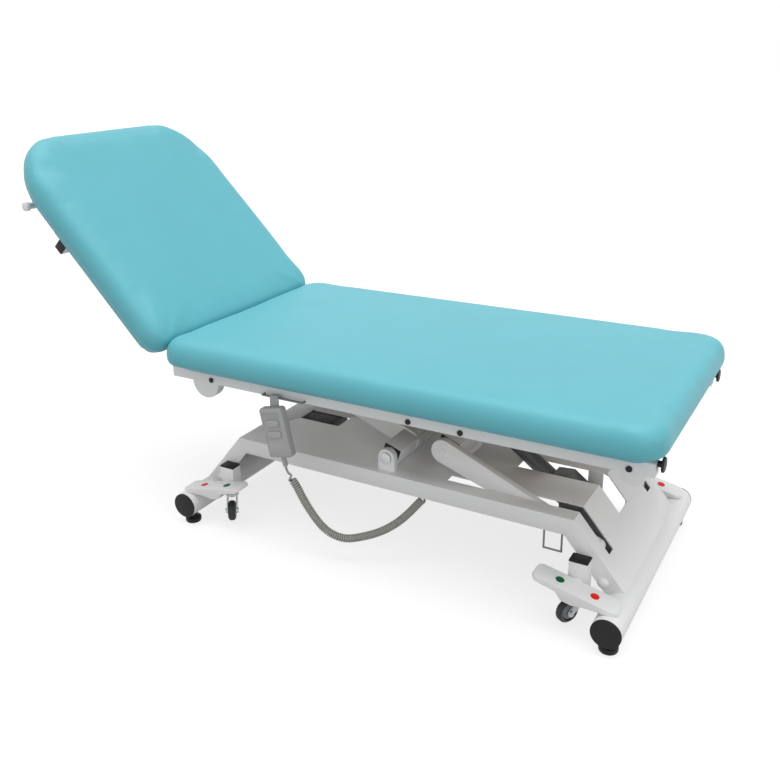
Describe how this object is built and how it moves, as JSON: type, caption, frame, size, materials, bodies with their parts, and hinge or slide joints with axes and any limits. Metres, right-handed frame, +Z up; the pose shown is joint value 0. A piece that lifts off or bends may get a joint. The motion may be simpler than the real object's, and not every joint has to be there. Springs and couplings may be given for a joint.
{
  "type": "examination table",
  "caption": "Height-adjustable examination couch with a tilting backrest, parallelogram lift, braked casters and a corded handset.",
  "frame": {"origin": "on the floor under the middle of the couch as it stands, between the top of the raised back and the foot end", "axes": "+X toward the foot end, +Y toward the far side, +Z up"},
  "size_m": [1.5834, 0.612, 0.9001],
  "materials": {
    "white_coat": "satin powder coat",
    "black_plastic": "moulded",
    "black_rubber": "matt",
    "tread": "matt",
    "zinc": "bright zinc",
    "dark_paint": "matt dark coat",
    "vinyl": "matt upholstery vinyl over foam",
    "plywood": "plain plywood",
    "handset_plastic": "fine matt moulding",
    "button_plastic": "soft matt",
    "cord_plastic": "smooth flexible sheath"
  },
  "bodies": {
    "base": {"base_frame": "white_coat", "foot_tubes": "white_coat", "tube_caps": "black_plastic", "caster_posts": "white_coat", "post_caps": "black_plastic", "skirt_domes": "white_coat", "arm_brackets": "dark_paint", "base_pins": "zinc", "control_box": "black_plastic", "cord_gland": "black_plastic", "wire_hook": "zinc", "curly_cord": "cord_plastic"},
    "idler": {"idler_arms": "white_coat", "idler_caps": "black_plastic"},
    "drive": {"drive_arms": "white_coat", "drive_beam": "white_coat", "drive_caps": "black_plastic", "crank_ears": "white_coat"},
    "push_rod": {"actuator_rod": "zinc"},
    "push_body": {"actuator_body": "dark_paint"},
    "top": {"seat_frame": "white_coat", "hangers": "white_coat", "arm_clevises": "white_coat", "frame_plugs": "black_plastic", "seat_board": "plywood", "seat_cushion": "vinyl", "hinge_rod": "white_coat", "handset_hook": "zinc"},
    "back": {"back_frame": "white_coat", "hinge_barrels": "white_coat", "back_plugs": "black_plastic", "roll_rod": "white_coat", "back_board": "plywood", "back_cushion": "vinyl"},
    "spring_rod": {"gas_rod": "zinc"},
    "spring_body": {"gas_cylinder": "dark_paint"},
    "hand": {"handset": "handset_plastic"},
    "hand_up": {"up_button": "button_plastic"},
    "hand_down": {"down_button": "button_plastic"},
    "foot_near_leveller": {"foot_near_leveller": "black_rubber"},
    "foot_near_pedal": {"foot_near_pedal": "white_coat"},
    "foot_near_stem": {"foot_near_stem": "zinc"},
    "foot_near_fork": {"foot_near_fork": "zinc"},
    "foot_near_wheel": {"foot_near_wheel": "tread"},
    "foot_far_leveller": {"foot_far_leveller": "black_rubber"},
    "foot_far_pedal": {"foot_far_pedal": "white_coat"},
    "foot_far_stem": {"foot_far_stem": "zinc"},
    "foot_far_fork": {"foot_far_fork": "zinc"},
    "foot_far_wheel": {"foot_far_wheel": "tread"},
    "head_near_leveller": {"head_near_leveller": "black_rubber"},
    "head_near_pedal": {"head_near_pedal": "white_coat"},
    "head_near_stem": {"head_near_stem": "zinc"},
    "head_near_fork": {"head_near_fork": "zinc"},
    "head_near_wheel": {"head_near_wheel": "tread"},
    "head_far_leveller": {"head_far_leveller": "black_rubber"},
    "head_far_pedal": {"head_far_pedal": "white_coat"},
    "head_far_stem": {"head_far_stem": "zinc"},
    "head_far_fork": {"head_far_fork": "zinc"},
    "head_far_wheel": {"head_far_wheel": "tread"}
  },
  "joints": [
    {"name": "lift", "type": "hinge", "parent": "base", "child": "idler", "pos_m": [0.19266, 0, 0.244], "axis": [0, 1, 0], "range_deg": [0, 57]},
    {"name": "drive_turn", "type": "hinge", "parent": "base", "child": "drive", "pos_m": [0.65666, 0, 0.142], "axis": [0, 1, 0], "range_deg": [0, 57.01]},
    {"name": "top_level", "type": "hinge", "parent": "idler", "child": "top", "pos_m": [-0.14736, 0, 0.37698], "axis": [0, 1, 0], "range_deg": [-57.01, 0]},
    {"name": "push_pivot", "type": "hinge", "parent": "drive", "child": "push_rod", "pos_m": [0.30864, 0, 0.33998], "axis": [0, 1, 0], "range_deg": [-0.5, 2.3]},
    {"name": "push_slide", "type": "slide", "parent": "push_rod", "child": "push_body", "axis": [0.7984, 0, -0.6022], "range_m": [-0.001, 0.061]},
    {"name": "back_tilt", "type": "hinge", "parent": "top", "child": "back", "pos_m": [-0.33134, 0, 0.44], "axis": [0, 1, 0], "range_deg": [-45.5, 29.5]},
    {"name": "spring_pivot", "type": "hinge", "parent": "back", "child": "spring_rod", "pos_m": [-0.34053, 0, 0.37464], "axis": [0, 1, 0], "range_deg": [-30.1, 46.4]},
    {"name": "spring_slide", "type": "slide", "parent": "spring_rod", "child": "spring_body", "axis": [0.999, 0, -0.0438], "range_m": [-0.0503, 0.0327]},
    {"name": "foot_near_level", "type": "hinge", "parent": "base", "child": "foot_near_leveller", "pos_m": [0.72196, -0.2702, 0.00001], "axis": [0, 0, 1], "continuous": true},
    {"name": "foot_near_press", "type": "hinge", "parent": "base", "child": "foot_near_pedal", "pos_m": [0.64201, -0.228, 0.097], "axis": [0, -1, 0], "range_deg": [0, 24.8]},
    {"name": "foot_near_drop", "type": "slide", "parent": "base", "child": "foot_near_stem", "axis": [0, 0, -1], "range_m": [0, 0.0097]},
    {"name": "foot_near_swivel", "type": "hinge", "parent": "foot_near_stem", "child": "foot_near_fork", "pos_m": [0.64201, -0.2135, 0.07], "axis": [0, 0, 1], "continuous": true},
    {"name": "foot_near_roll", "type": "hinge", "parent": "foot_near_fork", "child": "foot_near_wheel", "pos_m": [0.6276, -0.23502, 0.034], "axis": [-0.831, 0.5563, 0], "continuous": true},
    {"name": "foot_far_level", "type": "hinge", "parent": "base", "child": "foot_far_leveller", "pos_m": [0.72196, 0.2702, 0.00001], "axis": [0, 0, 1], "continuous": true},
    {"name": "foot_far_press", "type": "hinge", "parent": "base", "child": "foot_far_pedal", "pos_m": [0.64201, 0.228, 0.097], "axis": [0, -1, 0], "range_deg": [0, 24.8]},
    {"name": "foot_far_drop", "type": "slide", "parent": "base", "child": "foot_far_stem", "axis": [0, 0, -1], "range_m": [0, 0.0097]},
    {"name": "foot_far_swivel", "type": "hinge", "parent": "foot_far_stem", "child": "foot_far_fork", "pos_m": [0.64201, 0.2135, 0.07], "axis": [0, 0, 1], "continuous": true},
    {"name": "foot_far_roll", "type": "hinge", "parent": "foot_far_fork", "child": "foot_far_wheel", "pos_m": [0.6276, 0.23502, 0.034], "axis": [-0.831, -0.5563, 0], "continuous": true},
    {"name": "head_near_level", "type": "hinge", "parent": "base", "child": "head_near_leveller", "pos_m": [-0.30464, -0.2702, 0.00001], "axis": [0, 0, 1], "continuous": true},
    {"name": "head_near_press", "type": "hinge", "parent": "base", "child": "head_near_pedal", "pos_m": [-0.22469, -0.228, 0.097], "axis": [0, 1, 0], "range_deg": [0, 24.8]},
    {"name": "head_near_drop", "type": "slide", "parent": "base", "child": "head_near_stem", "axis": [0, 0, -1], "range_m": [0, 0.0097]},
    {"name": "head_near_swivel", "type": "hinge", "parent": "head_near_stem", "child": "head_near_fork", "pos_m": [-0.22469, -0.2135, 0.07], "axis": [0, 0, 1], "continuous": true},
    {"name": "head_near_roll", "type": "hinge", "parent": "head_near_fork", "child": "head_near_wheel", "pos_m": [-0.21028, -0.23502, 0.034], "axis": [0.831, 0.5563, 0], "continuous": true},
    {"name": "head_far_level", "type": "hinge", "parent": "base", "child": "head_far_leveller", "pos_m": [-0.30464, 0.2702, 0.00001], "axis": [0, 0, 1], "continuous": true},
    {"name": "head_far_press", "type": "hinge", "parent": "base", "child": "head_far_pedal", "pos_m": [-0.22469, 0.228, 0.097], "axis": [0, 1, 0], "range_deg": [0, 24.8]},
    {"name": "head_far_drop", "type": "slide", "parent": "base", "child": "head_far_stem", "axis": [0, 0, -1], "range_m": [0, 0.0097]},
    {"name": "head_far_swivel", "type": "hinge", "parent": "head_far_stem", "child": "head_far_fork", "pos_m": [-0.22469, 0.2135, 0.07], "axis": [0, 0, 1], "continuous": true},
    {"name": "head_far_roll", "type": "hinge", "parent": "head_far_fork", "child": "head_far_wheel", "pos_m": [-0.21028, 0.23502, 0.034], "axis": [0.831, -0.5563, 0], "continuous": true},
    {"name": "hand_lift", "type": "slide", "parent": "top", "child": "hand", "axis": [0, 0, 1], "range_m": [0, 0.01]},
    {"name": "up_press", "type": "slide", "parent": "hand", "child": "hand_up", "axis": [0, 1, 0], "range_m": [0, 0.001], "stiffness_N_per_m": 400, "springref_m": -0.0008},
    {"name": "down_press", "type": "slide", "parent": "hand", "child": "hand_down", "axis": [0, 1, 0], "range_m": [0, 0.001], "stiffness_N_per_m": 400, "springref_m": -0.0008}
  ],
  "couplings": [
    {"joint": "drive_turn", "follows": "lift", "ratio": 1},
    {"joint": "top_level", "follows": "lift", "ratio": -1},
    {"joint": "push_pivot", "follows": "lift", "ratio": 0.0375},
    {"joint": "push_slide", "follows": "lift", "m_per_rad": 0.06},
    {"joint": "spring_pivot", "follows": "back_tilt", "ratio": -1.0143},
    {"joint": "spring_slide", "follows": "back_tilt", "m_per_rad": 0.06306},
    {"joint": "foot_near_drop", "follows": "foot_near_press", "m_per_rad": 0.022179},
    {"joint": "foot_far_drop", "follows": "foot_far_press", "m_per_rad": 0.022179},
    {"joint": "head_near_drop", "follows": "head_near_press", "m_per_rad": 0.022179},
    {"joint": "head_far_drop", "follows": "head_far_press", "m_per_rad": 0.022179}
  ]
}
